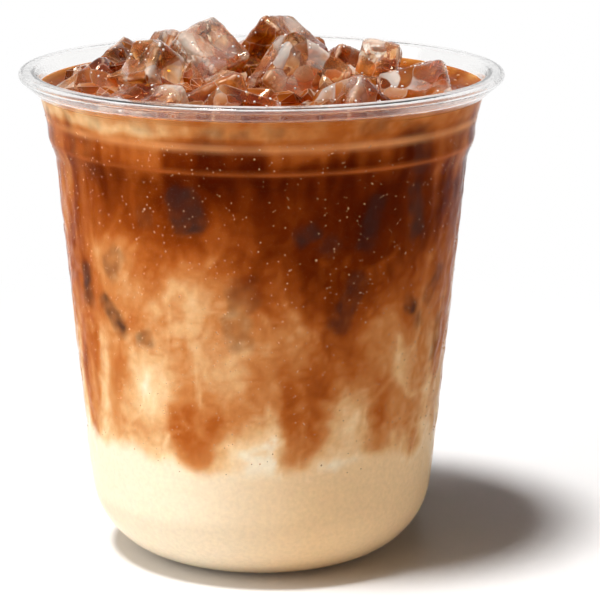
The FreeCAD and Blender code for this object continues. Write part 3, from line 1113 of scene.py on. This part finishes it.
def make_wall_drops(material):
    """Condensation on the outside of the cup."""
    chance = np.random.default_rng(SEED + 200)
    lowest, highest = WALL_DROP_HEIGHTS
    places, facings, sizes = [], [], []
    for _ in range(WALL_DROPS):
        turn = chance.uniform(0, 2 * math.pi)
        height = lowest + (highest - lowest) * chance.uniform(0, 1) ** 0.8
        radius = wall_radius(height)
        places.append([radius * math.cos(turn), radius * math.sin(turn), height])
        facings.append([math.cos(turn), math.sin(turn), 0.0])
        sizes.append(chance.uniform(0.09, 0.16) + 0.05 * chance.exponential(0.35))
    scattered("wall_drops", np.array(places), np.array(facings), sizes, 0.55, material,
              fineness=1)


def make_ice_drops(pieces, material):
    """Beads of meltwater on the upper faces of the ice, painted white as highlights."""
    chance = np.random.default_rng(SEED + 201)
    places, facings, sizes = [], [], []
    for piece in pieces:
        polygons = [face for face in piece.data.polygons
                    if face.normal.z > -0.1 and face.center.z / MM > LEVEL + 1.5]
        for index in chance.choice(len(polygons), min(ICE_DROPS, len(polygons)), replace=False):
            face = polygons[index]
            places.append(np.array(face.center) / MM)
            facings.append(np.array(face.normal))
            sizes.append(chance.uniform(0.16, 0.32))
    scattered("ice_drops", np.array(places), np.array(facings), sizes, 0.7, material)


def make_bubbles(material, ice):
    """Bubbles that cling to the wall and to the ice at the top of the drink."""
    chance = np.random.default_rng(SEED + 202)
    places, sizes = [], []
    wet = wall_radius(LEVEL, WALL)
    while len(places) < BUBBLES:
        reach = wet - 0.4 - abs(chance.normal(0, 1.6))
        turn = chance.uniform(0, 2 * math.pi)
        size = chance.uniform(*BUBBLE_SIZE)
        place = np.array([reach * math.cos(turn), reach * math.sin(turn), LEVEL + 0.15])
        place[2] += MENISCUS * math.exp(-(wet - reach) / MENISCUS_REACH)
        near = ice.find_nearest(Vector(place) * MM, 0.003)
        if near[0] is None or near[3] / MM > size:
            places.append(place)
            sizes.append(size)
    up = np.tile([0.0, 0.0, 1.0], (len(places), 1))
    scattered("bubbles", np.array(places), up, sizes, 0.75, material)


# ---------------------------------------------------------------- stage

FLOOR_REACH = 3000.0
WHITE_FROM = 0.11            # metres from the axis at which the floor begins to turn white
WHITE_BY = 0.25
ROOM_SHADE = (1.0, 0.88, 0.86, 1)
ROOM_STRENGTH = 0.02
# Each lamp's name, azimuth, elevation, width, strength and colour
SUNS = [
    ("key", -52, 74, 12, 0.94, (1, 0.985, 0.97)),
    ("side", -70, 28, 48, 0.32, (1, 0.985, 0.97)),
    ("fill", 32, 4, 30, 0.12, (1, 0.93, 0.89)),
]
CAMERA_DISTANCE = 0.600
CAMERA_ELEVATION = 13.53
CAMERA_TARGET = (7.867, 0, 50.47)
CAMERA_ROLL = 0.163
CAMERA_LENS = 171.13
CAMERA_SENSOR = 36.0


def seen_directly(tree):
    """1 for what the camera sees, itself or through glass, and 0 for light that falls on things."""
    path = tree.nodes.new("ShaderNodeLightPath").outputs
    seen = reckoned(tree, "MAXIMUM", path["Is Camera Ray"], path["Is Glossy Ray"])
    seen = reckoned(tree, "MAXIMUM", seen, path["Is Transmission Ray"])
    return reckoned(tree, "MULTIPLY", seen, reckoned(tree, "LESS_THAN", path["Diffuse Depth"], 0.5))


def make_floor():
    """A plain pale floor that turns to pure white well away from the object's shadow."""
    corners = [(-1, -1), (1, -1), (1, 1), (-1, 1)]
    points = [(x * FLOOR_REACH, y * FLOOR_REACH, 0) for x, y in corners]
    piece = mesh_object("floor", points, [(0, 1, 2, 3)], body=None)
    material, nodes, links, shader = new_material("floor")
    tree = material.node_tree
    set_inputs(shader, {
        "Base Color": (0.98, 0.98, 0.985, 1),
        "Roughness": 0.9,
        "Specular IOR Level": 0.0,
    })
    place = nodes.new("ShaderNodeTexCoord").outputs["Object"]
    far = nodes.new("ShaderNodeMapRange")
    far.interpolation_type = "SMOOTHSTEP"
    set_inputs(far, {"From Min": WHITE_FROM, "From Max": WHITE_BY})
    links.new(reckoned_vector(tree, "LENGTH", place, output="Value"), far.inputs["Value"])
    share = reckoned(tree, "MULTIPLY", far.outputs["Result"], seen_directly(tree))
    white = nodes.new("ShaderNodeEmission")
    mixed_shader(tree, share, shader, white, "Material Output")
    set_shade(piece, material)


def make_sun(name, azimuth, elevation, width, strength, colour):
    """A soft far lamp. It stands at an azimuth and elevation, and is width degrees across."""
    lamp = bpy.data.lights.new(name, "SUN")
    lamp.angle = math.radians(width)
    lamp.energy = strength * math.pi
    lamp.color = colour
    turn, rise = math.radians(azimuth), math.radians(elevation)
    flat = math.cos(rise)
    way = Vector((math.sin(turn) * flat, -math.cos(turn) * flat, math.sin(rise)))
    holder = bpy.data.objects.new(name, lamp)
    holder.rotation_euler = way.to_track_quat("Z", "Y").to_euler()
    bpy.context.collection.objects.link(holder)


def make_light():
    """A steep key from the upper left, a broad side light, and a pale room that glass mirrors."""
    world = bpy.data.worlds.new("studio")
    world.use_nodes = True
    tree = world.node_tree
    room = tree.nodes["Background"]
    set_inputs(room, {"Color": ROOM_SHADE, "Strength": ROOM_STRENGTH})
    shown = tree.nodes.new("ShaderNodeBackground")
    set_inputs(shown, {"Color": (1, 1, 1, 1), "Strength": 1.0})
    mixed_shader(tree, seen_directly(tree), room, shown, "World Output")
    bpy.context.scene.world = world
    for sun in SUNS:
        make_sun(*sun)


def make_camera():
    """A camera in front of the cup and a little above it."""
    elevation = math.radians(CAMERA_ELEVATION)
    target = Vector(CAMERA_TARGET) * MM
    place = target + CAMERA_DISTANCE * Vector((0, -math.cos(elevation), math.sin(elevation)))
    roll = Matrix.Rotation(math.radians(CAMERA_ROLL), 3, "Z")
    camera = bpy.data.cameras.new("camera")
    camera.lens = CAMERA_LENS
    camera.sensor_width = CAMERA_SENSOR
    camera.sensor_fit = "AUTO"
    holder = bpy.data.objects.new("camera", camera)
    turn = (target - place).to_track_quat("-Z", "Y").to_matrix() @ roll
    holder.matrix_world = Matrix.Translation(place) @ turn.to_4x4()
    bpy.context.collection.objects.link(holder)
    bpy.context.scene.camera = holder


def main():
    """Build the stage and every piece."""
    bpy.context.scene.view_settings.view_transform = "Standard"
    make_camera()
    make_light()
    make_floor()
    ice = ice_surface()
    # The beads on the ice are opaque white: painted highlights that stand for glints on meltwater.
    painted_glint_beads = water_material("beads_painted_white", 0.0)
    frozen = ice_material()
    make_cup(plastic_material("wall_plastic", 1.06), plastic_material("lip_plastic", 1.47))
    make_drink(drink_material("drink_side", False), drink_material("drink_top", True), ice)
    pieces = [make_ice_piece(node, number, frozen) for number, node in enumerate(ice_nodes(), 1)]
    make_ice_chips(ice, frozen)
    make_wall_drops(water_material("wall_water", 0.65, (0.95, 0.62, 0.36), 1.1))
    make_ice_drops(pieces, painted_glint_beads)
    make_bubbles(water_material("bubble_film", 0.5, (0.85, 0.52, 0.24)), ice)


main()
